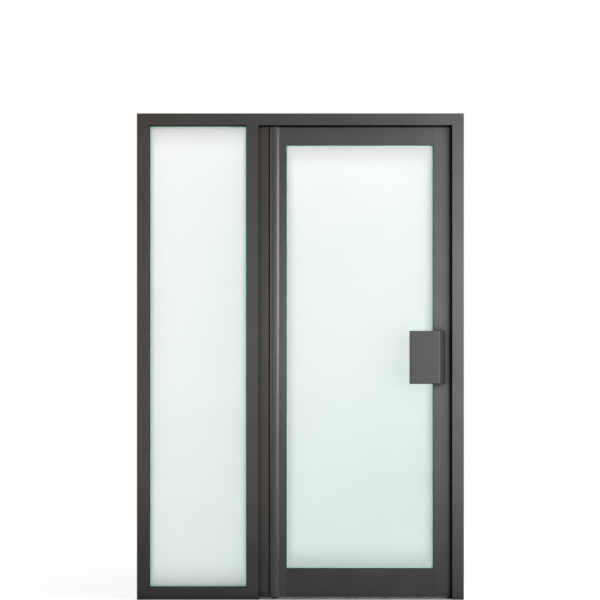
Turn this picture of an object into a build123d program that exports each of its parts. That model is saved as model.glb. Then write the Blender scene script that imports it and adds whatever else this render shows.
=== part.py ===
from build123d import *
import math
import os

# Aluminium shop door: a fixed side light on the left, and on the right a glazed leaf that turns on a
# round hinge stile. Millimetres, +Z up, the street side faces -Y.
# The origin is on the wall face of the left jamb, at floor level, in the middle of the depth.

# Frame
FRAME_WIDTH = 1464.0
FRAME_HEIGHT = 2178.0
MEMBER_FACE = 52.0  # seen width of each frame member
SIDE_DAYLIGHT = 439.0  # clear width between left jamb and mullion
LEAF_SETBACK = 20.0  # the leaf lies this far behind the frame's front face
PROFILE_WALL = 2.5
EDGE_RADIUS = 1.0  # rounding of the extrusions' outer corners
THRESHOLD_HEIGHT = 4.0
THRESHOLD_BEVEL = 6.0
THRESHOLD_LIP = 1.0

# Leaf
LEAF_THICKNESS = 40.0
LOCK_STILE_FACE = 78.0
TOP_RAIL_FACE = 80.0
BOTTOM_RAIL_FACE = 127.0
ROUND_RADIUS = 30.0  # round part of the hinge stile
STILE_FLAT = 31.5  # flat part of the hinge stile beside the round
PIVOT_FROM_MULLION = 72.0
RUNNING_GAP = 5.5  # between the round stile and its seat
SWING_CLEARANCE = 5.5  # between the seat's lips and the open leaf
HEAD_GAP = 8.0
LOCK_GAP = 6.0
FLOOR_GAP = 6.0

# Glazing
GLASS_THICKNESS = 10.0
GASKET_THICKNESS = 3.0
SIDE_GASKET_LIP = 3.5  # gasket seen beside the metal of the side light
LEAF_GASKET_LIP = 1.0  # gasket seen beside the metal of the leaf
GASKET_SEAT = 9.0  # gasket hidden behind the metal
REBATE = 18.0
GLASS_EDGE_GAP = 6.0  # room between the glass and the bottom of the rebate
BEAD_WALL = 1.6
BEAD_RADIUS = 2.5  # rounding of the bead's edge beside the daylight

# Stops behind the leaf
STOP_WIDTH = 20.0
STOP_GAP = 5.0
SEAL_THICKNESS = 3.0
SEAL_WIDTH = 10.0
SEAL_INSET = 3.0

# Pivots
PIN_RADIUS = 8.0
PIN_CLEARANCE = 0.05
PIN_REACH = 25.0  # length of pin inside the leaf
BUSH_LENGTH = 32.0
BUSH_FIT = 0.1
PIVOT_FLANGE_RADIUS = 20.0
PIVOT_FLANGE = 3.0
THRUST_GAP = 0.3
COLLAR_RADIUS = 14.0

# Handles
HANDLE_WIDTH = 137.0
HANDLE_HEIGHT = 237.0
HANDLE_MIDDLE = 1086.0  # height of the plate's middle over the floor
HANDLE_THICKNESS = 8.0
HANDLE_EDGE_RADIUS = 4.0
HANDLE_STANDOFF = 42.0  # hand room behind the front plate
PUSH_WIDTH = 60.0  # the back is pushed: a smaller plate, closer to the leaf
PUSH_HEIGHT = 180.0
PUSH_STANDOFF = 30.0
FOOT_FROM_EDGE = 25.0
FOOT_WIDTH = 33.0
BRACKET_HEAD = 27.0  # width of the bracket under the plate
BRACKET_LEAN = 24.5  # sideways run of the bracket's outer side
BRACKET_WALL = 4.0

# Wall fixings
FIXING_RADIUS = 4.25
FIXING_ACCESS_RADIUS = 7.0
FIXING_END = 250.0  # from the floor and the top
FIXING_STEP = 560.0  # from an end fixing to the next
BEAD_FIXING_Y = 22.0  # hidden behind the beads
HEAD_FIXING_FROM_SIDE = 270.0

# Derived places
frame_depth = LEAF_THICKNESS + 2 * LEAF_SETBACK
frame_half = frame_depth / 2
leaf_half = LEAF_THICKNESS / 2
member_box = MEMBER_FACE - REBATE
glass_half = GLASS_THICKNESS / 2
gasket_face = glass_half + GASKET_THICKNESS
frame_nib = frame_half - gasket_face
leaf_nib = leaf_half - gasket_face
mullion_left = MEMBER_FACE + SIDE_DAYLIGHT
mullion_right = mullion_left + MEMBER_FACE
lock_jamb_left = FRAME_WIDTH - MEMBER_FACE
head_bottom = FRAME_HEIGHT - MEMBER_FACE
rebate_top = FRAME_HEIGHT - member_box
pivot_x = mullion_right + PIVOT_FROM_MULLION
crease = math.sqrt(ROUND_RADIUS**2 - leaf_half**2)
seat_radius = ROUND_RADIUS + RUNNING_GAP
seat_lip = leaf_half + SWING_CLEARANCE
hinge_jamb_half = math.sqrt(seat_radius**2 - seat_lip**2)
leaf_right = lock_jamb_left - LOCK_GAP
leaf_top = head_bottom - HEAD_GAP
leaf_bottom = THRESHOLD_HEIGHT + FLOOR_GAP
hinge_stile_face = crease + STILE_FLAT
leaf_height = leaf_top - leaf_bottom

RIGHT = (1, 0, 0)
LEFT = (-1, 0, 0)
UP = (0, 0, 1)
DOWN = (0, 0, -1)


def rect(u0, v0, u1, v1):
    """A rectangle between two corners of a section."""
    return Pos((u0 + u1) / 2, (v0 + v1) / 2) * Rectangle(u1 - u0, v1 - v0)


def block(low, high):
    """A box between two corners."""
    size = [b - a for a, b in zip(low, high)]
    middle = [(a + b) / 2 for a, b in zip(low, high)]
    return Pos(*middle) * Box(*size)


def soften(section):
    """Rounds the corners on the front and back faces of a section."""
    rows = section.vertices().group_by(Axis.Y)
    return fillet(rows[0] + rows[-1], EDGE_RADIUS)


def glazed_outline(face, half, nib):
    """Outline of a glazed profile: a box with a nib at the front that holds the glass.

    u runs from the outer side towards the glass, v from front to back.
    """
    box = face - REBATE
    points = [(0, -half), (face, -half), (face, nib - half), (box, nib - half), (box, half), (0, half)]
    return make_face(Polyline(*points, close=True))


def nib_chamber(face, half, nib):
    """The hollow inside the nib of a glazed profile."""
    wall = PROFILE_WALL
    return rect(face - REBATE, wall - half, face - wall, nib - half - wall)


def glazed_section(face, half, nib):
    """Hollow extrusion with a glazing rebate."""
    wall = PROFILE_WALL
    main_chamber = rect(wall, wall - half, face - REBATE - wall, half - wall)
    return soften(glazed_outline(face, half, nib)) - main_chamber - nib_chamber(face, half, nib)


def tube_section(u0, v0, u1, v1, wall):
    """Rectangular hollow section."""
    return rect(u0, v0, u1, v1) - rect(u0 + wall, v0 + wall, u1 - wall, v1 - wall)


def bead_section(half):
    """Hollow bead from the gasket to the back face, rounded towards the daylight."""
    outer = rect(0, gasket_face, REBATE, half)
    daylight_edge = outer.vertices().sort_by_distance((REBATE, half))[0]
    wall = BEAD_WALL
    return fillet(daylight_edge, BEAD_RADIUS) - rect(wall, gasket_face + wall, REBATE - wall, half - wall)


def hinge_stile_section():
    """Round finger-guard stile: a tube on the pivot axis, a flat beside it and a glazing nib."""
    wall = PROFILE_WALL
    flat = soften(glazed_outline(hinge_stile_face, leaf_half, leaf_nib))
    outline = Circle(ROUND_RADIUS) + flat
    flat_chamber = rect(0, wall - leaf_half, hinge_stile_face - REBATE - wall, leaf_half - wall)
    hollows = Circle(ROUND_RADIUS - wall) + (flat_chamber - Circle(ROUND_RADIUS))
    return outline - hollows - nib_chamber(hinge_stile_face, leaf_half, leaf_nib)


def hinge_jamb_section():
    """Post beside the mullion with a hollow seat round the stile, at an even running gap."""
    wall = PROFILE_WALL
    left = -PIVOT_FROM_MULLION
    half = hinge_jamb_half
    outline = rect(left, -half, 0, half) - Circle(seat_radius)
    chamber = rect(left + wall, wall - half, 0, half - wall) - Circle(seat_radius + wall)
    return outline - chamber


def bar(section, start, inward, length):
    """Extrudes a section whose u axis points inward and whose v axis is +Y."""
    along = Vector(*inward).cross(Vector(0, 1, 0))
    return extrude(Plane(origin=start, x_dir=inward, z_dir=along) * section, amount=length)


def ring(x0, z0, x1, z1, y0, y1, lip):
    """Gasket round a daylight opening: a lip on the glass and a seat behind the metal."""
    outer = block(
        (x0 - GASKET_SEAT, y0, z0 - GASKET_SEAT), (x1 + GASKET_SEAT, y1, z1 + GASKET_SEAT)
    )
    inner = block((x0 + lip, y0, z0 + lip), (x1 - lip, y1, z1 - lip))
    return outer - inner


def glazing(name, x0, z0, x1, z1, half, lip):
    """Glass, two gaskets and four beads for one daylight opening in a frame of a given half depth."""
    bite = REBATE - GLASS_EDGE_GAP
    glass = block(
        (x0 - bite, -glass_half, z0 - bite), (x1 + bite, glass_half, z1 + bite)
    )
    bead = bead_section(half)
    across = x1 - x0 + 2 * REBATE
    return {
        f"{name}_glass": glass,
        f"{name}_front_gasket": ring(x0, z0, x1, z1, -gasket_face, -glass_half, lip),
        f"{name}_back_gasket": ring(x0, z0, x1, z1, glass_half, gasket_face, lip),
        f"{name}_bead_left": bar(bead, (x0 - REBATE, 0, z0), RIGHT, z1 - z0),
        f"{name}_bead_right": bar(bead, (x1 + REBATE, 0, z1), LEFT, z1 - z0),
        f"{name}_bead_bottom": bar(bead, (x1 + REBATE, 0, z0 - REBATE), UP, across),
        f"{name}_bead_top": bar(bead, (x0 - REBATE, 0, z1 + REBATE), DOWN, across),
    }


def drilled(member, places, outer, inner, wall_axis):
    """Wall fixings: a bolt hole in the outer wall and an access hole in the wall behind it."""
    turn = Rot(0, 90, 0) if wall_axis == "X" else Rot(0, 0, 0)
    for place in places:
        for radius, level in ((FIXING_RADIUS, outer), (FIXING_ACCESS_RADIUS, inner)):
            centre = (level, *place) if wall_axis == "X" else (*place, level)
            member = member - Pos(*centre) * turn * Cylinder(radius, 2 * PROFILE_WALL)
    return member


def frame_members():
    """The five frame members, mitred at the top corners and coped where they butt."""
    section = glazed_section(MEMBER_FACE, frame_half, frame_nib)
    filled = glazed_outline(MEMBER_FACE, frame_half, frame_nib)
    left_mitre = Plane(origin=(0, 0, FRAME_HEIGHT), z_dir=(1, 0, 1))
    right_mitre = Plane(origin=(FRAME_WIDTH, 0, FRAME_HEIGHT), z_dir=(-1, 0, 1))

    left_jamb = split(bar(section, (0, 0, 0), RIGHT, FRAME_HEIGHT), left_mitre, keep=Keep.BOTTOM)
    left_filled = bar(filled, (0, 0, 0), RIGHT, FRAME_HEIGHT)
    head = bar(section, (0, 0, FRAME_HEIGHT), DOWN, FRAME_WIDTH)
    head_filled = bar(filled, (0, 0, FRAME_HEIGHT), DOWN, FRAME_WIDTH)
    head = split(split(head, left_mitre, keep=Keep.TOP), right_mitre, keep=Keep.TOP)
    mullion = bar(section, (mullion_right, 0, rebate_top), LEFT, rebate_top) - head_filled
    mullion_filled = bar(filled, (mullion_right, 0, rebate_top), LEFT, rebate_top)
    sill_end = mullion_right - member_box
    side_sill = bar(section, (sill_end, 0, 0), UP, sill_end - member_box)
    side_sill = side_sill - left_filled - mullion_filled

    plain = soften(rect(0, -frame_half, MEMBER_FACE, frame_half))
    wall = PROFILE_WALL
    plain = plain - rect(wall, wall - frame_half, MEMBER_FACE - wall, frame_half - wall)
    right_jamb = bar(plain, (FRAME_WIDTH, 0, FRAME_HEIGHT), LEFT, FRAME_HEIGHT)
    right_jamb = split(right_jamb, right_mitre, keep=Keep.BOTTOM)

    filler = tube_section(member_box, -gasket_face, MEMBER_FACE, frame_half, wall)
    filler = bar(filler, (mullion_right, 0, FRAME_HEIGHT), DOWN, FRAME_WIDTH - mullion_right)
    filler = split(filler, right_mitre, keep=Keep.TOP)

    heights = [
        FIXING_END,
        FIXING_END + FIXING_STEP,
        FRAME_HEIGHT - FIXING_END - FIXING_STEP,
        FRAME_HEIGHT - FIXING_END,
    ]
    bead_side = [(BEAD_FIXING_Y, z) for z in heights]
    reveal_side = [(0, z) for z in heights]
    over_head = [(x, BEAD_FIXING_Y) for x in (HEAD_FIXING_FROM_SIDE, FRAME_WIDTH - HEAD_FIXING_FROM_SIDE)]
    return {
        "left_jamb": drilled(left_jamb, bead_side, 0, member_box, "X"),
        "right_jamb": drilled(right_jamb, reveal_side, FRAME_WIDTH, lock_jamb_left, "X"),
        "head": drilled(head, over_head, FRAME_HEIGHT, rebate_top, "Z"),
        "mullion": mullion,
        "side_sill": side_sill,
        "door_head_filler": filler,
    }


def stops():
    """Stops behind the leaf at the head and the lock side, with their seals, and the threshold.

    The head stop is thinner where it passes behind the round stile.
    """
    stop_front = leaf_half + STOP_GAP + SEAL_THICKNESS
    stop_section = tube_section(0, stop_front, STOP_WIDTH, frame_half, BEAD_WALL)
    seal_section = rect(SEAL_INSET, stop_front - SEAL_THICKNESS, SEAL_INSET + SEAL_WIDTH, stop_front)
    door_width = lock_jamb_left - mullion_right
    stop_left = pivot_x + seat_radius
    stop_bottom = head_bottom - STOP_WIDTH
    lock_height = stop_bottom - THRESHOLD_HEIGHT
    seal_inner = lock_jamb_left - SEAL_INSET
    head_stop = bar(stop_section, (stop_left, 0, head_bottom), DOWN, lock_jamb_left - stop_left)
    behind_round = block((mullion_right, seat_radius, stop_bottom), (stop_left, frame_half, head_bottom))
    half = frame_half
    shelf = half - THRESHOLD_BEVEL
    bevelled = [
        (0, -half),
        (THRESHOLD_LIP, -half),
        (THRESHOLD_HEIGHT, -shelf),
        (THRESHOLD_HEIGHT, shelf),
        (THRESHOLD_LIP, half),
        (0, half),
    ]
    plate = make_face(Polyline(*bevelled, close=True))
    return {
        "head_stop": head_stop + behind_round,
        "lock_stop": bar(stop_section, (lock_jamb_left, 0, stop_bottom), LEFT, lock_height),
        "head_stop_seal": bar(seal_section, (stop_left, 0, head_bottom), DOWN, seal_inner - stop_left),
        "lock_stop_seal": bar(seal_section, (lock_jamb_left, 0, stop_bottom), LEFT, lock_height),
        "threshold": bar(plate, (lock_jamb_left, 0, 0), UP, door_width),
    }


def pivots():
    """Pins fixed to the frame and the bushes that turn on them."""
    axis = Pos(pivot_x, 0, 0)

    def disc(radius, z0, z1):
        return axis * Pos(0, 0, (z0 + z1) / 2) * Cylinder(radius, z1 - z0)

    flange_bottom = head_bottom - PIVOT_FLANGE
    top_pin = disc(PIVOT_FLANGE_RADIUS, flange_bottom, head_bottom)
    top_pin = top_pin + disc(PIN_RADIUS, leaf_top - PIN_REACH, flange_bottom)
    collar_top = leaf_bottom - THRUST_GAP
    bottom_pin = disc(COLLAR_RADIUS, THRESHOLD_HEIGHT, collar_top)
    bottom_pin = bottom_pin + disc(PIN_RADIUS, collar_top, leaf_bottom + PIN_REACH)
    bush_radius = ROUND_RADIUS - PROFILE_WALL - BUSH_FIT
    bore_radius = PIN_RADIUS + PIN_CLEARANCE

    def bush(z0):
        z1 = z0 + BUSH_LENGTH
        return disc(bush_radius, z0, z1) - disc(bore_radius, z0, z1)

    return {
        "top_pivot": top_pin,
        "bottom_pivot": bottom_pin,
        "top_pivot_bush": bush(leaf_top - BUSH_LENGTH),
        "bottom_pivot_bush": bush(leaf_bottom),
    }


def leaf_members():
    """Stiles that run the full height, and rails coped between them."""
    lock_section = glazed_section(LOCK_STILE_FACE, leaf_half, leaf_nib)
    lock_filled = glazed_outline(LOCK_STILE_FACE, leaf_half, leaf_nib)
    hinge_filled = glazed_outline(hinge_stile_face, leaf_half, leaf_nib)
    hinge_start = (pivot_x, 0, leaf_bottom)
    lock_start = (leaf_right, 0, leaf_top)
    hinge_stile = bar(hinge_stile_section(), hinge_start, RIGHT, leaf_height)
    lock_stile = bar(lock_section, lock_start, LEFT, leaf_height)
    stiles = bar(hinge_filled, hinge_start, RIGHT, leaf_height) + bar(
        lock_filled, lock_start, LEFT, leaf_height
    )
    rail_left = pivot_x + hinge_stile_face - REBATE
    rail_right = leaf_right - LOCK_STILE_FACE + REBATE
    length = rail_right - rail_left
    top_section = glazed_section(TOP_RAIL_FACE, leaf_half, leaf_nib)
    bottom_section = glazed_section(BOTTOM_RAIL_FACE, leaf_half, leaf_nib)
    return {
        "hinge_stile": hinge_stile,
        "lock_stile": lock_stile,
        "leaf_top_rail": bar(top_section, (rail_left, 0, leaf_top), DOWN, length) - stiles,
        "leaf_bottom_rail": bar(bottom_section, (rail_right, 0, leaf_bottom), UP, length) - stiles,
    }


def handle(width, height, standoff):
    """A plate held off the leaf's front by a leaning hollow bracket on the lock stile."""
    foot_right = leaf_right - FOOT_FROM_EDGE
    foot_left = foot_right - FOOT_WIDTH
    head_right = foot_right - BRACKET_LEAN
    head_left = head_right - BRACKET_HEAD
    plate_back = -leaf_half - standoff
    plate_front = plate_back - HANDLE_THICKNESS
    z0 = HANDLE_MIDDLE - height / 2
    z1 = HANDLE_MIDDLE + height / 2
    corners = [
        (foot_left, -leaf_half),
        (foot_right, -leaf_half),
        (head_right, plate_back),
        (head_left, plate_back),
    ]
    outline = make_face(Polyline(*corners, close=True))
    hollow = outline - offset(outline, amount=-BRACKET_WALL, kind=Kind.INTERSECTION)
    bracket = extrude(Pos(0, 0, z0) * hollow, amount=height, dir=UP)
    plate = block((head_right - width, plate_front, z0), (head_right, plate_back, z1))
    plate = fillet(plate.faces().sort_by(Axis.Y)[0].edges(), HANDLE_EDGE_RADIUS)
    return plate, bracket


nodes = frame_members() | stops() | pivots() | leaf_members()
nodes["hinge_jamb"] = bar(hinge_jamb_section(), (pivot_x, 0, leaf_bottom), RIGHT, leaf_height)
nodes |= glazing(
    "side", MEMBER_FACE, MEMBER_FACE, mullion_left, head_bottom, frame_half, SIDE_GASKET_LIP
)
nodes |= glazing(
    "leaf",
    pivot_x + hinge_stile_face,
    leaf_bottom + BOTTOM_RAIL_FACE,
    leaf_right - LOCK_STILE_FACE,
    leaf_top - TOP_RAIL_FACE,
    leaf_half,
    LEAF_GASKET_LIP,
)
pull_plate, pull_bracket = handle(HANDLE_WIDTH, HANDLE_HEIGHT, HANDLE_STANDOFF)
push_plate, push_bracket = handle(PUSH_WIDTH, PUSH_HEIGHT, PUSH_STANDOFF)
nodes["front_handle_plate"] = pull_plate
nodes["front_handle_bracket"] = pull_bracket
nodes["back_handle_plate"] = mirror(push_plate, about=Plane.XZ)
nodes["back_handle_bracket"] = mirror(push_bracket, about=Plane.XZ)

os.makedirs("parts", exist_ok=True)
for name, shape in nodes.items():
    export_step(shape, f"parts/{name}.step")
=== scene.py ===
"""Looks of an aluminium shop door: its finishes, small fittings, studio and camera.

Metres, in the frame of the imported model: +Z up, and the street side faces -Y.
"""

import logging
import math
from abc import ABC, abstractmethod
from dataclasses import dataclass, field
from enum import Enum
from typing import Any, Callable, Mapping, Sequence

import bmesh
import bpy
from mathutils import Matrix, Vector


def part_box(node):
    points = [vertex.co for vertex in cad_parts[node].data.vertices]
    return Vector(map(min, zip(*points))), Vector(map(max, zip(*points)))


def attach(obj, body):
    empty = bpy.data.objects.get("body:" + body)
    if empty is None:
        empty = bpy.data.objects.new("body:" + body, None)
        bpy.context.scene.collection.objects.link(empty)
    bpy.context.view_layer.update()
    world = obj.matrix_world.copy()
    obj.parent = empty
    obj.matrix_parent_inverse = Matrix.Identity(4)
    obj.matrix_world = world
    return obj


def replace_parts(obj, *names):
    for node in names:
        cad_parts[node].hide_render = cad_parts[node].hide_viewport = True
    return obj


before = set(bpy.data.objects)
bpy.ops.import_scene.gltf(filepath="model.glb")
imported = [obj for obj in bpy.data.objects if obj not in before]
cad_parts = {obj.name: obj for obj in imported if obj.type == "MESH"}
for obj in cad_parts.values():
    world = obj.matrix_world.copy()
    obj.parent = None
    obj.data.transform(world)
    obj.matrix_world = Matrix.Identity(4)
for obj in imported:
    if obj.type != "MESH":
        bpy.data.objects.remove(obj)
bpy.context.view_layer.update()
LOG = logging.getLogger("shop_door")

Colour = tuple[float, float, float]
Socket = bpy.types.NodeSocket
Profile = list[tuple[float, float]]


class Slot(Enum):
    """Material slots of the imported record."""

    GREY_COAT = "grey_coat"
    BRACKET_COAT = "bracket_coat"
    BARE_ALUMINIUM = "bare_aluminium"
    GLASS = "glass"
    BLACK_RUBBER = "black_rubber"
    PIVOT_STEEL = "pivot_steel"
    BUSH_PLASTIC = "bush_plastic"


class Body(Enum):
    """The two bodies that pieces ride on."""

    FRAME = "frame"
    LEAF = "leaf"


class Face(Enum):
    """The two faces of a pane, as the sign of Y."""

    FRONT = -1
    BACK = 1


def srgb(red: int, green: int, blue: int) -> Colour:
    """Turn a screen colour into the linear one that shaders use.

    Args:
        red: Red from 0 to 255.
        green: Green from 0 to 255.
        blue: Blue from 0 to 255.

    Returns:
        The linear colour.
    """
    shares = [value / 255 for value in (red, green, blue)]
    return tuple(s / 12.92 if s <= 0.04045 else ((s + 0.055) / 1.055) ** 2.4 for s in shares)


def scaled(colour: Colour, factor: float) -> Colour:
    """Make a colour lighter or darker by a factor."""
    return tuple(min(1.0, channel * factor) for channel in colour)


class Graph:
    """A node tree that is being wired."""

    def __init__(self, tree: bpy.types.NodeTree) -> None:
        """Start from an empty tree.

        Args:
            tree: The tree of a material or of the world.
        """
        self.tree = tree
        tree.nodes.clear()

    def node(self, kind: str, inputs: Mapping[Any, Any] | None = None, **settings: Any) -> bpy.types.Node:
        """Add a node.

        Args:
            kind: The node's type without its ShaderNode prefix.
            inputs: Constants or sockets by the name or number of the input that they feed.
            settings: The node's own settings.

        Returns:
            The new node.
        """
        made = self.tree.nodes.new("ShaderNode" + kind)
        for name, value in settings.items():
            setattr(made, name, value)
        for name, value in (inputs or {}).items():
            self.feed(made.inputs[name], value)
        return made

    def feed(self, target: Socket, value: Any) -> None:
        """Link a socket to an input, or set the input to a constant.

        Args:
            target: The input.
            value: A socket, a number, a colour or a vector.
        """
        if isinstance(value, Socket):
            self.tree.links.new(value, target)
        elif target.type == "RGBA" and len(value) == 3:
            target.default_value = (*value, 1.0)
        else:
            target.default_value = value

    def place(self) -> Socket:
        """Give the point on the piece, in metres of the shared frame."""
        return self.node("TexCoord").outputs["Object"]

    def axes(self) -> tuple[Socket, Socket, Socket]:
        """Give the point's X, Y and Z apart."""
        return tuple(self.node("SeparateXYZ", {0: self.place()}).outputs)

    def math(self, operation: str, first: Any, second: Any = 0.0, clamp: bool = False) -> Socket:
        """Work out one number from two.

        Args:
            operation: Name of the operation.
            first: First number or socket.
            second: Second number or socket.
            clamp: Keep the result between 0 and 1.

        Returns:
            The result's socket.
        """
        made = self.node("Math", {0: first, 1: second}, operation=operation, use_clamp=clamp)
        return made.outputs[0]

    def ease(self, value: Socket, start: float, end: float, low: float = 0.0, high: float = 1.0) -> Socket:
        """Pass softly from one number to another.

        Args:
            value: The number that leads.
            start: Where the passage starts.
            end: Where it ends.
            low: Result at the start.
            high: Result at the end.

        Returns:
            The result's socket.
        """
        inputs = {"Value": value, "From Min": start, "From Max": end, "To Min": low, "To Max": high}
        return self.node("MapRange", inputs, interpolation_type="SMOOTHSTEP").outputs[0]

    def blend(self, share: Any, first: Any, second: Any, mode: str = "MIX") -> Socket:
        """Mix two colours.

        Args:
            share: Share of the second colour.
            first: First colour or socket.
            second: Second colour or socket.
            mode: How the second is laid on the first.

        Returns:
            The mixed colour's socket.
        """
        made = self.node("Mix", {0: share, 6: first, 7: second}, data_type="RGBA", blend_type=mode)
        return made.outputs[2]

    def noise(self, scale: float, detail: float = 2.0, stretch: Colour = (1.0, 1.0, 1.0)) -> Socket:
        """Add a noise that is fixed to the piece.

        Args:
            scale: Number of spots in a metre.
            detail: Number of finer layers.
            stretch: Factors for X, Y and Z.

        Returns:
            The noise, around a half.
        """
        place = self.node("Mapping", {"Vector": self.place(), "Scale": stretch}).outputs[0]
        return self.node("TexNoise", {"Vector": place, "Scale": scale, "Detail": detail}).outputs[0]

    def patches(self, scale: float, detail: float, low: float = 0.0, high: float = 1.0) -> Socket:
        """Add soft patches.

        Args:
            scale: Number of patches in a metre.
            detail: Number of finer layers.
            low: Result between the patches.
            high: Result in the patches.

        Returns:
            The patches' socket.
        """
        return self.ease(self.noise(scale, detail), 0.3, 0.7, low, high)

    def facing(self) -> tuple[Socket, Socket, Socket]:
        """Give the X, Y and Z of the direction that the surface faces."""
        normal = self.node("NewGeometry").outputs["Normal"]
        return tuple(self.node("SeparateXYZ", {0: normal}).outputs)

    def openness(self, reach: float) -> Socket:
        """Give how open a place is, from 0 in a corner to 1.

        Args:
            reach: How far away things still close it in, in metres.

        Returns:
            The share's socket.
        """
        return self.node("AmbientOcclusion", {"Distance": reach}, samples=6).outputs["AO"]

    def bump(self, height: Socket, depth: float, strength: float, normal: Socket | None = None) -> Socket:
        """Raise and lower the surface in its shading.

        Args:
            height: The relief, from 0 to 1.
            depth: Depth of the relief in metres.
            strength: How much of it shows.
            normal: A normal to start from.

        Returns:
            The normal's socket.
        """
        inputs = {"Height": height, "Distance": depth, "Strength": strength}
        if normal is not None:
            inputs["Normal"] = normal
        return self.node("Bump", inputs).outputs[0]

    def surface(self, inputs: Mapping[str, Any]) -> Socket:
        """Add the main shader with these inputs."""
        return self.node("BsdfPrincipled", inputs).outputs[0]


class Finish(ABC):
    """A finish that gives one material."""

    name: str
    slot: Slot

    @abstractmethod
    def wire(self, graph: Graph) -> Socket:
        """Wire the nodes and give the surface's shader."""

    def material(self) -> bpy.types.Material:
        """Make the material, or give the one that was made before.

        Returns:
            The material.
        """
        title = f"{self.name}_finish"
        made = bpy.data.materials.get(title)
        if made is None:
            made = bpy.data.materials.new(title)
            made.use_nodes = True
            graph = Graph(made.node_tree)
            graph.node("OutputMaterial", {"Surface": self.wire(graph)})
        return made


@dataclass(frozen=True)
class PowderCoat(Finish):
    """Satin powder coat on aluminium: mottled, rubbed at its edges, dusty on ledges, with painted shade low
    down, in corners, on undersides and on the sides of recesses.
    """

    name: str
    slot: Slot
    tone: Colour
    roughness: float = 0.42
    shine: float = 0.15
    mottle: float = 0.05
    mottle_scale: float = 6.0
    speck: float = 0.06
    speck_scale: float = 1500.0
    peel_scale: float = 650.0
    peel_depth: float = 0.00004
    edge_radius: float = 0.0007
    rubbed: Colour = srgb(118, 118, 116)
    dust: Colour = srgb(124, 121, 115)
    # Painted shade towards the floor: how high it reaches, its share, and how dark it makes the coat.
    low_shade_height: float = 0.6
    low_shade_share: float = 0.66
    low_shade_tone: float = 0.3
    # Painted shade in corners, on undersides and in recesses: how dark it makes the coat, how far corners
    # reach, and the dullness it adds along with dust.
    shade_tone: float = 0.15
    corner_reach: float = 0.05
    dust_and_shade_dullness: float = 0.5

    def edges(self, graph: Graph) -> tuple[Socket, Socket]:
        """Find the piece's edges.

        Args:
            graph: The tree that is being wired.

        Returns:
            A normal that rounds the edges, and a share that is 1 on them.
        """
        rounded = graph.node("Bevel", {"Radius": self.edge_radius}, samples=4).outputs[0]
        flat = graph.node("NewGeometry").outputs["Normal"]
        turned = graph.node("VectorMath", {0: rounded, 1: flat}, operation="DOT_PRODUCT").outputs["Value"]
        return rounded, graph.ease(turned, 0.985, 0.86)

    def settled(self, graph: Graph) -> Socket:
        """Give the share of dust that lies on ledges."""
        upward = graph.facing()[2]
        patchy = graph.ease(graph.noise(14.0, 5.0, (1.0, 1.0, 0.6)), 0.38, 0.66)
        return graph.math("MULTIPLY", graph.ease(upward, 0.4, 0.95, 0.0, 0.34), patchy)

    def shaded_low(self, graph: Graph) -> Socket:
        """Give the share of painted shade that darkens the coat towards the floor."""
        height = graph.axes()[2]
        patchy = graph.patches(9.0, 5.0, low=0.8)
        reach = graph.ease(height, self.low_shade_height, 0.0, 0.0, self.low_shade_share)
        return graph.math("MULTIPLY", reach, patchy)

    def shaded_undersides(self, graph: Graph) -> Socket:
        """Give the share of painted shade on undersides, where the light does not reach."""
        upward = graph.facing()[2]
        patchy = graph.patches(11.0, 4.0, low=0.85)
        return graph.math("MULTIPLY", graph.ease(upward, -0.4, -0.95, 0.0, 0.97), patchy)

    def shaded_recesses(self, graph: Graph, open_air: Socket) -> Socket:
        """Give the share of painted shade on the sides of recesses.

        Args:
            graph: The tree that is being wired.
            open_air: How open the place is, from 0 to 1.

        Returns:
            The share's socket.
        """
        across = graph.facing()[1]
        side = graph.ease(graph.math("ABSOLUTE", across), 0.6, 0.2)
        return graph.math("MULTIPLY", side, graph.ease(open_air, 0.97, 0.76, 0.0, 0.95))

    def wire(self, graph: Graph) -> Socket:
        """Wire the coat.

        Args:
            graph: The tree that is being wired.

        Returns:
            The surface's shader.
        """
        broad = graph.patches(self.mottle_scale, 3.0)
        specks = graph.ease(graph.noise(self.speck_scale, 1.0), 0.35, 0.65)
        darker, lighter = scaled(self.tone, 1 - self.mottle), scaled(self.tone, 1 + self.mottle)
        colour = graph.blend(broad, darker, lighter)
        dots = graph.blend(specks, (1 - self.speck,) * 3, (1.0,) * 3)
        colour = graph.blend(1.0, colour, dots, "MULTIPLY")
        rounded, edge = self.edges(graph)
        worn = graph.ease(graph.noise(42.0, 4.0), 0.5, 0.72, 0.0, 0.4)
        colour = graph.blend(graph.math("MULTIPLY", edge, worn), colour, self.rubbed)
        # Painted shade: the coat darkens in patches towards the floor.
        colour = graph.blend(self.shaded_low(graph), colour, scaled(self.tone, self.low_shade_tone))
        settled = self.settled(graph)
        colour = graph.blend(settled, colour, self.dust)
        # Painted shade: the coat darkens in corners, on undersides and on the sides of recesses, and grows
        # duller there and on dusty ledges.
        open_air = graph.openness(self.corner_reach)
        painted_shade = graph.ease(open_air, 0.97, 0.42, 0.0, 0.75)
        painted_shade = graph.math("MAXIMUM", painted_shade, self.shaded_undersides(graph))
        painted_shade = graph.math("MAXIMUM", painted_shade, self.shaded_recesses(graph, open_air))
        colour = graph.blend(painted_shade, colour, scaled(self.tone, self.shade_tone))
        rough = graph.ease(broad, 0.0, 1.0, self.roughness - 0.04, self.roughness + 0.04)
        rough = graph.math("ADD", rough, graph.math("MULTIPLY", settled, self.dust_and_shade_dullness))
        rough = graph.math("ADD", rough, graph.math("MULTIPLY", painted_shade, self.dust_and_shade_dullness), clamp=True)
        relief = graph.bump(graph.noise(self.peel_scale, 2.0), self.peel_depth, 0.35, rounded)
        return graph.surface(
            {
                "Base Color": colour,
                "Roughness": rough,
                "Specular IOR Level": self.shine,
                "Normal": relief,
            }
        )


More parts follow.
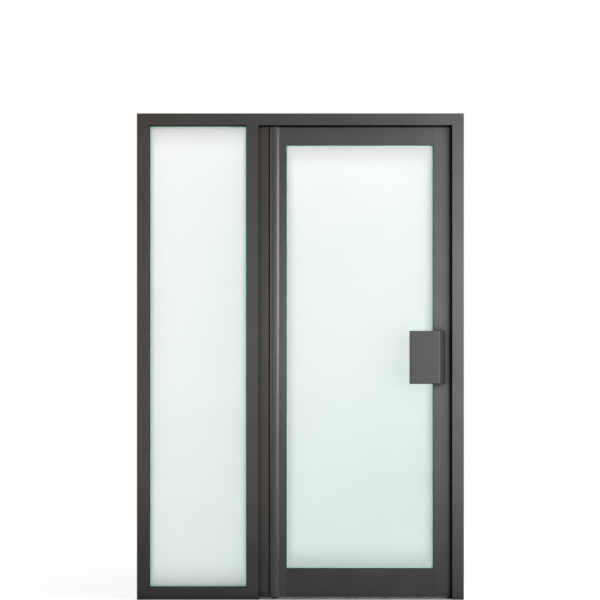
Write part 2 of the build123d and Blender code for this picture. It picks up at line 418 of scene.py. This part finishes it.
@dataclass(frozen=True)
class SatinGlass(Finish):
    """Satin safety glass: painted shade turns it from white to a darker pale green towards the bottom and a
    little darker towards the right, with a painted mint glow at its edge and painted shade where it enters
    the metal.
    """

    name: str
    daylight: tuple[float, float, float, float]
    downward_shade: float
    side_fade: float
    slot: Slot = Slot.GLASS
    clear: Colour = srgb(255, 255, 255)
    # Painted shade: the darker pale green that the glass turns towards the bottom.
    low_shade_tint: Colour = srgb(223, 235, 233)
    # Painted shade: the glass's tone at its right side.
    right_shade_tint: Colour = srgb(248, 251, 250)
    # Painted glow: the bright mint of the rim, where light piped through the pane would leave its edge.
    edge: Colour = srgb(200, 250, 236)
    shade: Colour = srgb(231, 230, 230)
    glow_start: float = 0.0045
    glow_width: float = 0.003
    end_fade: float = 0.11
    roughness: float = 0.66
    see_through: float = 0.99
    shine: float = 0.25
    glow_see_through: float = 0.75

    def wire(self, graph: Graph) -> Socket:
        """Wire the glass.

        Args:
            graph: The tree that is being wired.

        Returns:
            The surface's shader.
        """
        left, bottom, right, top = self.daylight
        x, _, z = graph.axes()
        from_left, from_right = graph.math("SUBTRACT", x, left), graph.math("SUBTRACT", right, x)
        from_side = graph.math("MINIMUM", from_left, from_right)
        from_foot, from_head = graph.math("SUBTRACT", z, bottom), graph.math("SUBTRACT", top, z)
        across = graph.math("DIVIDE", from_left, right - left)
        down = graph.math("DIVIDE", from_head, top - bottom, clamp=True)
        wander = graph.patches(1.6, 2.0, -0.07, 0.03)
        # Painted shade: darker and greener towards the bottom, with patches of random tone.
        downward_shade = graph.math("MULTIPLY", graph.math("SQRT", down), self.downward_shade)
        downward_shade = graph.math("ADD", downward_shade, wander, clamp=True)
        colour = graph.blend(downward_shade, self.clear, self.low_shade_tint)
        # Painted shade: a little darker towards the right.
        colour = graph.blend(1.0, colour, graph.blend(across, self.clear, self.right_shade_tint), "MULTIPLY")
        ends = graph.math(
            "MULTIPLY",
            graph.ease(from_head, 0.0, self.end_fade),
            graph.ease(from_foot, 0.0, self.end_fade),
        )
        inside = graph.math("MULTIPLY", graph.ease(from_side, 0.0, self.side_fade), ends)
        colour = graph.blend(1.0, colour, graph.blend(inside, self.shade, (1.0,) * 3), "MULTIPLY")
        # Painted glow: a bright mint rim that lets less light through, in place of light piped to the
        # pane's edge.
        nearest = graph.math("MINIMUM", from_side, graph.math("MINIMUM", from_foot, from_head))
        rim = graph.ease(nearest, self.glow_start + self.glow_width, self.glow_start)
        colour = graph.blend(rim, colour, self.edge)
        wiped = graph.noise(5.0, 3.0, (1.0, 1.0, 3.0))
        rough = graph.ease(wiped, 0.3, 0.7, self.roughness - 0.05, self.roughness + 0.05)
        grain = graph.bump(graph.noise(2200.0, 1.0), 0.00001, 0.2)
        return graph.surface(
            {
                "Base Color": colour,
                "Roughness": rough,
                "IOR": 1.5,
                "Specular IOR Level": self.shine,
                "Transmission Weight": graph.ease(rim, 0.0, 1.0, self.see_through, self.glow_see_through),
                "Normal": grain,
            }
        )


@dataclass(frozen=True)
class Rubber(Finish):
    """Black rubber with a faint grey bloom."""

    name: str = "black_rubber"
    slot: Slot = Slot.BLACK_RUBBER
    tone: Colour = srgb(20, 22, 22)
    bloom: Colour = srgb(40, 42, 42)
    shine: float = 0.1

    def wire(self, graph: Graph) -> Socket:
        """Wire the rubber.

        Args:
            graph: The tree that is being wired.

        Returns:
            The surface's shader.
        """
        patches = graph.ease(graph.noise(30.0, 4.0), 0.45, 0.75)
        colour = graph.blend(patches, self.tone, self.bloom)
        rough = graph.ease(patches, 0.0, 1.0, 0.55, 0.75)
        skin = graph.bump(graph.noise(1800.0, 2.0), 0.00003, 0.3)
        return graph.surface(
            {"Base Color": colour, "Roughness": rough, "Specular IOR Level": self.shine, "Normal": skin}
        )


@dataclass(frozen=True)
class BrushedMetal(Finish):
    """Bare metal with brush lines along X, dull scuffs and painted shade where it is closed in."""

    name: str
    slot: Slot
    tone: Colour
    dull: Colour
    roughness: float = 0.4
    corner_reach: float = 0.04

    def wire(self, graph: Graph) -> Socket:
        """Wire the metal.

        Args:
            graph: The tree that is being wired.

        Returns:
            The surface's shader.
        """
        lines = graph.noise(1.0, 3.0, (8.0, 1400.0, 1400.0))
        scuffs = graph.ease(graph.noise(24.0, 5.0), 0.44, 0.7)
        shade = graph.ease(lines, 0.3, 0.7)
        colour = graph.blend(shade, scaled(self.tone, 0.86), self.tone)
        colour = graph.blend(graph.math("MULTIPLY", scuffs, 0.6), colour, self.dull)
        # Painted shade: the metal darkens where it is closed in, as under the leaf.
        open_air = graph.openness(self.corner_reach)
        colour = graph.blend(graph.ease(open_air, 0.7, 0.25), colour, scaled(self.dull, 0.06))
        rough = graph.ease(shade, 0.0, 1.0, self.roughness - 0.06, self.roughness + 0.06)
        rough = graph.math("ADD", rough, graph.math("MULTIPLY", scuffs, 0.15))
        relief = graph.bump(lines, 0.00004, 0.3)
        return graph.surface(
            {"Base Color": colour, "Metallic": 1.0, "Roughness": rough, "Normal": relief}
        )


@dataclass(frozen=True)
class MouldedPlastic(Finish):
    """Dark moulded plastic with a fine spark-eroded grain."""

    name: str = "moulded_plastic"
    slot: Slot = Slot.BUSH_PLASTIC
    tone: Colour = srgb(52, 52, 51)

    def wire(self, graph: Graph) -> Socket:
        """Wire the plastic.

        Args:
            graph: The tree that is being wired.

        Returns:
            The surface's shader.
        """
        cloud = graph.patches(60.0, 3.0)
        colour = graph.blend(cloud, scaled(self.tone, 0.9), scaled(self.tone, 1.12))
        rough = graph.ease(cloud, 0.0, 1.0, 0.46, 0.58)
        grain = graph.bump(graph.noise(2600.0, 2.0), 0.00003, 0.4)
        return graph.surface({"Base Color": colour, "Roughness": rough, "Normal": grain})


@dataclass
class Shape:
    """Points and faces of one mesh that is being put together."""

    points: list[Vector] = field(default_factory=list)
    faces: list[tuple[int, ...]] = field(default_factory=list)

    def skin(self, rings: Sequence[Sequence[Vector]], looped: bool = False) -> None:
        """Join rings of equally many points.

        Args:
            rings: The rings in order.
            looped: Join the last ring to the first. Otherwise the two ends are closed.
        """
        start, count = len(self.points), len(rings[0])
        for ring in rings:
            self.points.extend(ring)
        for step in range(len(rings) if looped else len(rings) - 1):
            here = start + step * count
            there = start + (step + 1) % len(rings) * count
            for at in range(count):
                after = (at + 1) % count
                self.faces.append((here + at, here + after, there + after, there + at))
        if not looped:
            last = start + (len(rings) - 1) * count
            self.faces.append(tuple(range(start, start + count)))
            self.faces.append(tuple(range(last, last + count)))

    def piece(self, name: str, body: Body, finish: Finish, smooth: float = 40.0) -> bpy.types.Object:
        """Make the piece, and let it ride.

        Args:
            name: The piece's name.
            body: The body that it moves with.
            finish: Its finish.
            smooth: Edges sharper than this many degrees stay sharp.

        Returns:
            The piece.
        """
        mesh = bpy.data.meshes.new(name)
        mesh.from_pydata(self.points, [], self.faces)
        work = bmesh.new()
        work.from_mesh(mesh)
        bmesh.ops.recalc_face_normals(work, faces=work.faces)
        work.to_mesh(mesh)
        work.free()
        mesh.shade_smooth()
        mesh.set_sharp_from_angle(angle=math.radians(smooth))
        made = bpy.data.objects.new(name, mesh)
        bpy.context.scene.collection.objects.link(made)
        made.data.materials.append(finish.material())
        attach(made, body.value)
        LOG.info("piece %s on %s, %d faces", name, body.value, len(mesh.polygons))
        return made


def turned(
    centre: Vector,
    axis: Vector,
    profile: Sequence[tuple[float, float]],
    swell: Sequence[Callable[[float], float] | None] | None = None,
    count: int = 36,
) -> list[list[Vector]]:
    """Turn a profile round an axis.

    Args:
        centre: Where the axis starts.
        axis: Direction of the axis.
        profile: Radius and height of each ring.
        swell: For each ring a factor on its radius by angle, or None for a round ring.
        count: Points in a ring.

    Returns:
        The rings.
    """
    side = axis.orthogonal().normalized()
    other = axis.cross(side).normalized()
    rings = []
    for number, (radius, height) in enumerate(profile):
        factor = swell[number] if swell else None
        ring = []
        for at in range(count):
            angle = math.tau * at / count
            reach = radius * (factor(angle) if factor else 1.0)
            ring.append(centre + axis * height + (side * math.cos(angle) + other * math.sin(angle)) * reach)
        rings.append(ring)
    return rings


def arc(radius_u: float, radius_v: float, start: float, end: float, steps: int) -> Profile:
    """Points on an elliptic arc round the origin.

    Args:
        radius_u: Half width.
        radius_v: Half height.
        start: First angle in degrees.
        end: Last angle in degrees.
        steps: Number of stretches.

    Returns:
        The points.
    """
    angles = [math.radians(start + (end - start) * step / steps) for step in range(steps + 1)]
    return [(radius_u * math.cos(angle), radius_v * math.sin(angle)) for angle in angles]


def inset(outline: Profile, amount: float) -> Profile:
    """Move the sides of a convex outline inwards.

    Args:
        outline: Its corners in order.
        amount: How far each side moves.

    Returns:
        The corners of the smaller outline.
    """
    corners = [Vector(corner) for corner in outline]
    middle = sum(corners, Vector((0.0, 0.0))) / len(corners)
    lines = []
    for number, corner in enumerate(corners):
        along = (corners[(number + 1) % len(corners)] - corner).normalized()
        inward = Vector((-along.y, along.x))
        inward *= math.copysign(amount, inward.dot(middle - corner))
        lines.append((corner + inward, along))
    smaller = []
    for number, (start, along) in enumerate(lines):
        before, came = lines[number - 1]
        cross = came.x * along.y - came.y * along.x
        gap = start - before
        smaller.append(tuple(before + came * ((gap.x * along.y - gap.y * along.x) / cross)))
    return smaller


def plugs(outline: Profile, wall: float, ends: tuple[float, float]) -> Shape:
    """Shape two dished plugs that close the lower and upper end of an upright tube.

    Args:
        outline: The tube's outer corners, in X and Y.
        wall: Thickness of the tube's wall.
        ends: Heights of its lower and upper end.

    Returns:
        The shape of both plugs.
    """
    steps = [(0.0004, 0.009), (0.0002, 0.0014), (0.0008, 0.0004), (0.0026, 0.0004), (0.0034, 0.0012)]
    shape = Shape()
    for end, outward in zip(ends, (-1, 1)):
        rings = []
        for play, depth in steps:
            height = end - outward * depth
            rings.append([Vector((x, y, height)) for x, y in inset(outline, wall + play)])
        shape.skin(rings)
    return shape


class Assembly(ABC):
    """A group of pieces that are built and dressed together."""

    @abstractmethod
    def build(self) -> None:
        """Build and dress the group."""

    def coat(self, nodes: Sequence[str], finish: Finish) -> None:
        """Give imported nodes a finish.

        Args:
            nodes: Names of the nodes.
            finish: The finish.
        """
        for name in nodes:
            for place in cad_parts[name].material_slots:
                place.material = finish.material()
            LOG.info("node %s in %s", name, finish.name)


GREY_COAT = PowderCoat("grey_coat", Slot.GREY_COAT, srgb(77, 77, 76))
STILE_COAT = PowderCoat("stile_coat", Slot.GREY_COAT, srgb(67, 67, 66), roughness=0.33, shine=0.36)
# Darker than the grey coat, partly painted shade that offsets the key lamp's light on the plate.
PLATE_COAT = PowderCoat("plate_coat", Slot.GREY_COAT, srgb(58, 58, 57), roughness=0.55, shine=0.3)
# A darker copy of the grey coat: painted shade on the recessed hinge jamb.
SHADED_JAMB_COAT = PowderCoat("sheltered_coat", Slot.GREY_COAT, srgb(73, 73, 72))
# Near-black: partly the bracket's own dark coat, partly painted shade for the shade beside the plate.
BRACKET_COAT = PowderCoat("bracket_coat", Slot.BRACKET_COAT, srgb(38, 38, 38), roughness=0.6)
BARE_ALUMINIUM = BrushedMetal(
    "bare_aluminium", Slot.BARE_ALUMINIUM, srgb(202, 202, 200), srgb(158, 158, 156), 0.45
)
PIVOT_STEEL = BrushedMetal("pivot_steel", Slot.PIVOT_STEEL, srgb(78, 78, 80), srgb(56, 56, 56), 0.42)
BLACK_RUBBER = Rubber()
BUSH_PLASTIC = MouldedPlastic()


@dataclass
class FixedFrame(Assembly):
    """Frame members, stops with their seals, and the threshold."""

    profiles: tuple[str, ...] = (
        "left_jamb",
        "right_jamb",
        "head",
        "mullion",
        "side_sill",
        "door_head_filler",
        "head_stop",
        "lock_stop",
    )
    fixing_end: float = 0.25
    fixing_step: float = 0.56
    cap_radius: float = 0.0088
    cap_rise: float = 0.0009
    stub_radius: float = 0.0066
    stub_length: float = 0.004
    screw_radius: float = 0.0052
    screw_rise: float = 0.0009
    screw_count: int = 5
    screw_margin: float = 0.16
    seal_foot: float = 0.25
    bulb_share: float = 0.4

    def build(self) -> None:
        """Dress the profiles and add caps, screws and seals."""
        self.coat(self.profiles, GREY_COAT)
        self.coat(("hinge_jamb",), SHADED_JAMB_COAT)
        self.coat(("threshold",), BARE_ALUMINIUM)
        self.reveal_caps()
        self.threshold_screws()
        self.bulb_seal("head_stop_seal", along=Vector((1, 0, 0)))
        self.bulb_seal("lock_stop_seal", along=Vector((0, 0, 1)))

    def reveal_caps(self) -> None:
        """Close the access holes in the lock jamb's reveal with domed caps."""
        low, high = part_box("right_jamb")
        ends = (low.z + self.fixing_end, high.z - self.fixing_end)
        heights = (ends[0], ends[0] + self.fixing_step, ends[1] - self.fixing_step, ends[1])
        rise, radius = self.cap_rise, self.cap_radius
        profile = [(self.stub_radius, -self.stub_length), (self.stub_radius, 0.0), (radius, 0.0)]
        profile += [(radius, rise * 0.35), (radius * 0.93, rise * 0.7), (radius * 0.6, rise * 0.95)]
        profile += [(radius * 0.08, rise)]

        def notch(angle: float) -> float:
            """Radius factor of a rim with a small notch for prying."""
            return 0.9 if abs(angle - math.pi) < 0.25 else 1.0

        swell = [None, None, notch, notch, None, None, None]
        shape = Shape()
        for height in heights:
            shape.skin(turned(Vector((low.x, 0.0, height)), Vector((-1, 0, 0)), profile, swell))
        shape.piece("reveal_caps", Body.FRAME, BUSH_PLASTIC)

    def threshold_screws(self) -> None:
        """Fix the threshold with a row of low domed screws."""
        low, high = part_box("threshold")
        radius, rise = self.screw_radius, self.screw_rise
        profile = [(radius, -rise), (radius, rise * 0.3), (radius * 0.9, rise * 0.75), (radius * 0.6, rise)]
        profile += [(radius * 0.42, rise), (radius * 0.38, rise * 0.2)]

        def lobes(angle: float) -> float:
            """Radius factor of a six-lobed recess."""
            return 1.0 + 0.16 * math.cos(6 * angle)

        swell = [None, None, None, None, lobes, lobes]
        start, end = low.x + self.screw_margin, high.x - self.screw_margin
        shape = Shape()
        for number in range(self.screw_count):
            x = start + (end - start) * number / (self.screw_count - 1)
            shape.skin(turned(Vector((x, 0.0, high.z)), Vector((0, 0, 1)), profile, swell))
        shape.piece("threshold_screws", Body.FRAME, PIVOT_STEEL)

    def bulb_seal(self, node: str, along: Vector) -> None:
        """Replace a plain seal by a strip with a foot and a round bulb.

        Args:
            node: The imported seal.
            along: Direction of its length.
        """
        low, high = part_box(node)
        across = Vector((0, 0, 1)) if along.x else Vector((1, 0, 0))
        width, thickness = (high - low).dot(across), high.y - low.y
        foot = thickness * self.seal_foot
        outline = [(width / 2, 0.0), (width / 2, foot)]
        bulb = arc(width * self.bulb_share, thickness - foot, 0, 180, 12)
        outline += [(u, foot + v) for u, v in bulb]
        outline += [(-width / 2, foot), (-width / 2, 0.0)]
        middle = (low + high) / 2
        base = Vector((middle.x, high.y, middle.z))
        rings = []
        for end in (-0.5, 0.5):
            centre = base + along * end * (high - low).dot(along)
            rings.append([centre + across * u - Vector((0, v, 0)) for u, v in outline])
        shape = Shape()
        shape.skin(rings)
        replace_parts(shape.piece(node + "_bulb", Body.FRAME, BLACK_RUBBER), node)


@dataclass
class GlazedPane(Assembly):
    """A pane with its gaskets and beads."""

    name: str
    body: Body
    # How strongly painted shade darkens the glass towards the bottom.
    downward_shade: float = 1.12
    side_fade: float = 0.045
    seat: float = 0.009
    lip: float = 0.001
    nose_steps: int = 8

    def opening(self, inset: float) -> tuple[float, float, float, float]:
        """Give the left, bottom, right and top of an opening inside the gasket's outline."""
        low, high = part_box(f"{self.name}_front_gasket")
        return low.x + inset, low.z + inset, high.x - inset, high.z - inset

    def build(self) -> None:
        """Dress the pane and its beads, and shape its gaskets."""
        seen = self.opening(self.seat + self.lip)
        glass = SatinGlass(f"{self.name}_satin_glass", seen, self.downward_shade, self.side_fade)
        self.coat((f"{self.name}_glass",), glass)
        self.coat([f"{self.name}_bead_{place}" for place in ("left", "right", "top", "bottom")], GREY_COAT)
        for face in Face:
            self.gasket(face)

    def gasket(self, face: Face) -> None:
        """Replace a plain gasket by one with a rounded nose on the glass.

        Args:
            face: The pane's face that it lies on.
        """
        node = f"{self.name}_{face.name.lower()}_gasket"
        low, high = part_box(node)
        glass = (low if face is Face.BACK else high).y
        thickness = high.y - low.y
        left, bottom, right, top = self.opening(self.seat)
        nose = arc(self.lip, thickness, 0, 90, self.nose_steps)
        profile = [(-self.seat, 0.0), *nose, (-self.seat, thickness)]
        corners = ((left, bottom, 1, 1), (right, bottom, -1, 1), (right, top, -1, -1), (left, top, 1, -1))
        rings = [
            [Vector((x + sx * u, glass + face.value * v, z + sz * u)) for u, v in profile]
            for x, z, sx, sz in corners
        ]
        shape = Shape()
        shape.skin(rings, looped=True)
        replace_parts(shape.piece(node + "_lip", self.body, BLACK_RUBBER), node)


@dataclass
class DoorLeaf(Assembly):
    """Stiles and rails of the leaf, with plugs in the ends of the lock stile."""

    profiles: tuple[str, ...] = ("lock_stile", "leaf_top_rail", "leaf_bottom_rail")
    wall: float = 0.0025
    rebate: float = 0.018

    def build(self) -> None:
        """Dress the stiles and rails, and close the lock stile."""
        self.coat(self.profiles, GREY_COAT)
        self.coat(("hinge_stile",), STILE_COAT)
        low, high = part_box("lock_stile")
        left = low.x + self.rebate
        outline = [(left, low.y), (high.x, low.y), (high.x, high.y), (left, high.y)]
        plugs(outline, self.wall, (low.z, high.z)).piece("lock_stile_plugs", Body.LEAF, BUSH_PLASTIC)


@dataclass
class PullHandles(Assembly):
    """A plate and its bracket on each face of the leaf, with plugs in the bracket's ends."""

    foot: float = 0.033
    head: float = 0.027
    wall: float = 0.004

    def build(self) -> None:
        """Dress the plates and brackets, and close the brackets."""
        for face in Face:
            side = face.name.lower()
            bracket = f"{side}_handle_bracket"
            self.coat((f"{side}_handle_plate",), PLATE_COAT)
            self.coat((bracket,), BRACKET_COAT)
            low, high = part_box(bracket)
            near, far = (high.y, low.y) if face is Face.FRONT else (low.y, high.y)
            outline = [(high.x - self.foot, near), (high.x, near), (low.x + self.head, far), (low.x, far)]
            closed = plugs(outline, self.wall, (low.z, high.z))
            closed.piece(f"{bracket}_plugs", Body.LEAF, BUSH_PLASTIC)


@dataclass
class PivotSet(Assembly):
    """Pins on the frame and bushes in the leaf."""

    def build(self) -> None:
        """Dress the pins and bushes."""
        for end in ("top", "bottom"):
            self.coat((f"{end}_pivot",), PIVOT_STEEL)
            self.coat((f"{end}_pivot_bush",), BUSH_PLASTIC)


@dataclass(frozen=True)
class StudioLamp:
    """A soft rectangular lamp, and the objects that it spares."""

    name: str
    place: Vector
    aim: Vector
    width: float
    height: float
    power: float
    colour: Colour = (1.0, 1.0, 1.0)
    spared: tuple[str, ...] = ()

    def light(self) -> None:
        """Set the lamp up."""
        data = bpy.data.lights.new(self.name, "AREA")
        data.shape = "RECTANGLE"
        data.size = self.width
        data.size_y = self.height
        data.energy = self.power
        data.color = self.colour
        lamp = bpy.data.objects.new(self.name, data)
        lamp.location = self.place
        lamp.rotation_euler = (self.aim - self.place).to_track_quat("-Z", "Y").to_euler()
        lamp.visible_camera = False
        bpy.context.scene.collection.objects.link(lamp)
        if self.spared:
            lamp.light_linking.receiver_collection = self.spare()

    def spare(self) -> bpy.types.Collection:
        """Collect what the lamp leaves unlit.

        Returns:
            The collection for the lamp's light linking.
        """
        group = bpy.data.collections.new(f"{self.name}_spared")
        for name in self.spared:
            group.objects.link(bpy.data.objects[name])
        for member in group.collection_objects:
            member.light_linking.link_state = "EXCLUDE"
        return group


@dataclass
class Studio:
    """Pale floor, white surroundings, soft lamps and the camera."""

    floor_half: float = 30.0
    floor_drop: float = 0.0004
    floor_tone: Colour = srgb(150, 150, 149)
    near_glow: float = 0.86
    far_glow: float = 1.0
    near_reach: float = 0.9
    far_reach: float = 2.4
    ambient: Colour = (0.08, 0.08, 0.08)
    camera_distance: float = 8.0
    view_width: float = 2.6856
    sensor: float = 36.0
    eye_x: float = 0.93
    eye_height: float = 1.208
    centre_x: float = 0.7304
    centre_height: float = 1.3424
    lamps: tuple[StudioLamp, ...] = (
        StudioLamp(
            "key", Vector((2.35, -1.25, 1.4)), Vector((1.2, 0.0, 1.36)), 0.6, 1.5, 36.0, (0.98, 0.98, 1.0)
        ),
        StudioLamp(
            "foot", Vector((2.35, -1.25, 0.36)), Vector((1.2, 0.0, 0.36)), 0.4, 0.6, 5.5, (0.98, 0.98, 1.0)
        ),
        StudioLamp("rim", Vector((2.3, -0.55, 1.6)), Vector((1.3, 0.0, 1.5)), 0.4, 1.2, 21.0),
        StudioLamp(
            "warm", Vector((-1.5, -1.0, 1.42)), Vector((0.6, 0.0, 1.27)), 0.4, 1.8, 23.0, (1.0, 0.74, 0.62)
        ),
        StudioLamp("fill", Vector((0.65, -1.2, 1.2)), Vector((0.65, 0.0, 1.15)), 0.5, 0.9, 2.6),
        StudioLamp(
            "back",
            Vector((-0.6, 2.4, 1.9)),
            Vector((0.75, 0.0, 1.1)),
            1.2,
            1.4,
            50.0,
            spared=("side_glass", "leaf_glass", "floor"),
        ),
    )

    def set_up(self) -> None:
        """Set up the floor, the surroundings, the lamps and the camera."""
        bpy.context.scene.view_settings.view_transform = "Standard"
        self.surroundings()
        self.floor()
        for lamp in self.lamps:
            lamp.light()
        self.camera()

    def seen(self, graph: Graph) -> Socket:
        """Give 1 for rays that show the background: straight, mirrored or through glass.

        Args:
            graph: The tree that is being wired.

        Returns:
            The share's socket.
        """
        rays = graph.node("LightPath").outputs
        mirrored = graph.math("MAXIMUM", rays["Is Glossy Ray"], rays["Is Transmission Ray"])
        return graph.math("MAXIMUM", rays["Is Camera Ray"], mirrored)

    def surroundings(self) -> None:
        """Make the surroundings white to look at and softer as light."""
        world = bpy.data.worlds.new("studio")
        world.use_nodes = True
        bpy.context.scene.world = world
        graph = Graph(world.node_tree)
        colour = graph.blend(self.seen(graph), self.ambient, (1.0, 1.0, 1.0))
        glow = graph.node("Background", {"Color": colour, "Strength": 1.0}).outputs[0]
        graph.node("OutputWorld", {"Surface": glow})

    def floor(self) -> None:
        """Lay a pale floor that keeps the door's shadow."""
        half = self.floor_half
        mesh = bpy.data.meshes.new("floor")
        corners = [(-half, -half, 0.0), (half, -half, 0.0), (half, half, 0.0), (-half, half, 0.0)]
        mesh.from_pydata(corners, [], [(0, 1, 2, 3)])
        floor = bpy.data.objects.new("floor", mesh)
        floor.location.z = -self.floor_drop
        bpy.context.scene.collection.objects.link(floor)
        paint = bpy.data.materials.new("pale_floor")
        paint.use_nodes = True
        graph = Graph(paint.node_tree)
        cloud = graph.patches(2.5, 4.0)
        tone = graph.blend(cloud, scaled(self.floor_tone, 0.96), scaled(self.floor_tone, 1.04))
        dull = graph.node("BsdfDiffuse", {"Color": tone}).outputs[0]
        ends = {0: graph.place(), 1: (self.centre_x, 0.0, 0.0)}
        away = graph.node("VectorMath", ends, operation="DISTANCE").outputs["Value"]
        level = graph.ease(away, self.near_reach, self.far_reach, self.near_glow, self.far_glow)
        strength = graph.math("MULTIPLY", self.seen(graph), level)
        glow = graph.node("Emission", {"Color": (1.0, 1.0, 1.0), "Strength": strength}).outputs[0]
        both = graph.node("AddShader", {0: dull, 1: glow}).outputs[0]
        graph.node("OutputMaterial", {"Surface": both})
        mesh.materials.append(paint)

    def camera(self) -> None:
        """Stand the camera level in front of the door, its lens shifted to the photo's framing."""
        data = bpy.data.cameras.new("camera")
        data.sensor_width = self.sensor
        data.lens = self.sensor * self.camera_distance / self.view_width
        data.shift_x = (self.centre_x - self.eye_x) / self.view_width
        data.shift_y = (self.centre_height - self.eye_height) / self.view_width
        camera = bpy.data.objects.new("camera", data)
        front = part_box("left_jamb")[0].y
        camera.location = (self.eye_x, front - self.camera_distance, self.eye_height)
        camera.rotation_euler = (math.radians(90.0), 0.0, 0.0)
        bpy.context.scene.collection.objects.link(camera)
        bpy.context.scene.camera = camera


def main() -> None:
    """Build the sub-assemblies in order, then the studio."""
    logging.basicConfig(level=logging.INFO, format="%(name)s: %(message)s")
    assemblies: list[Assembly] = [
        FixedFrame(),
        GlazedPane("side", Body.FRAME, downward_shade=0.85, side_fade=0.024, lip=0.0035),
        GlazedPane("leaf", Body.LEAF),
        DoorLeaf(),
        PullHandles(),
        PivotSet(),
    ]
    for assembly in assemblies:
        assembly.build()
    Studio().set_up()


if __name__ == "__main__":
    main()
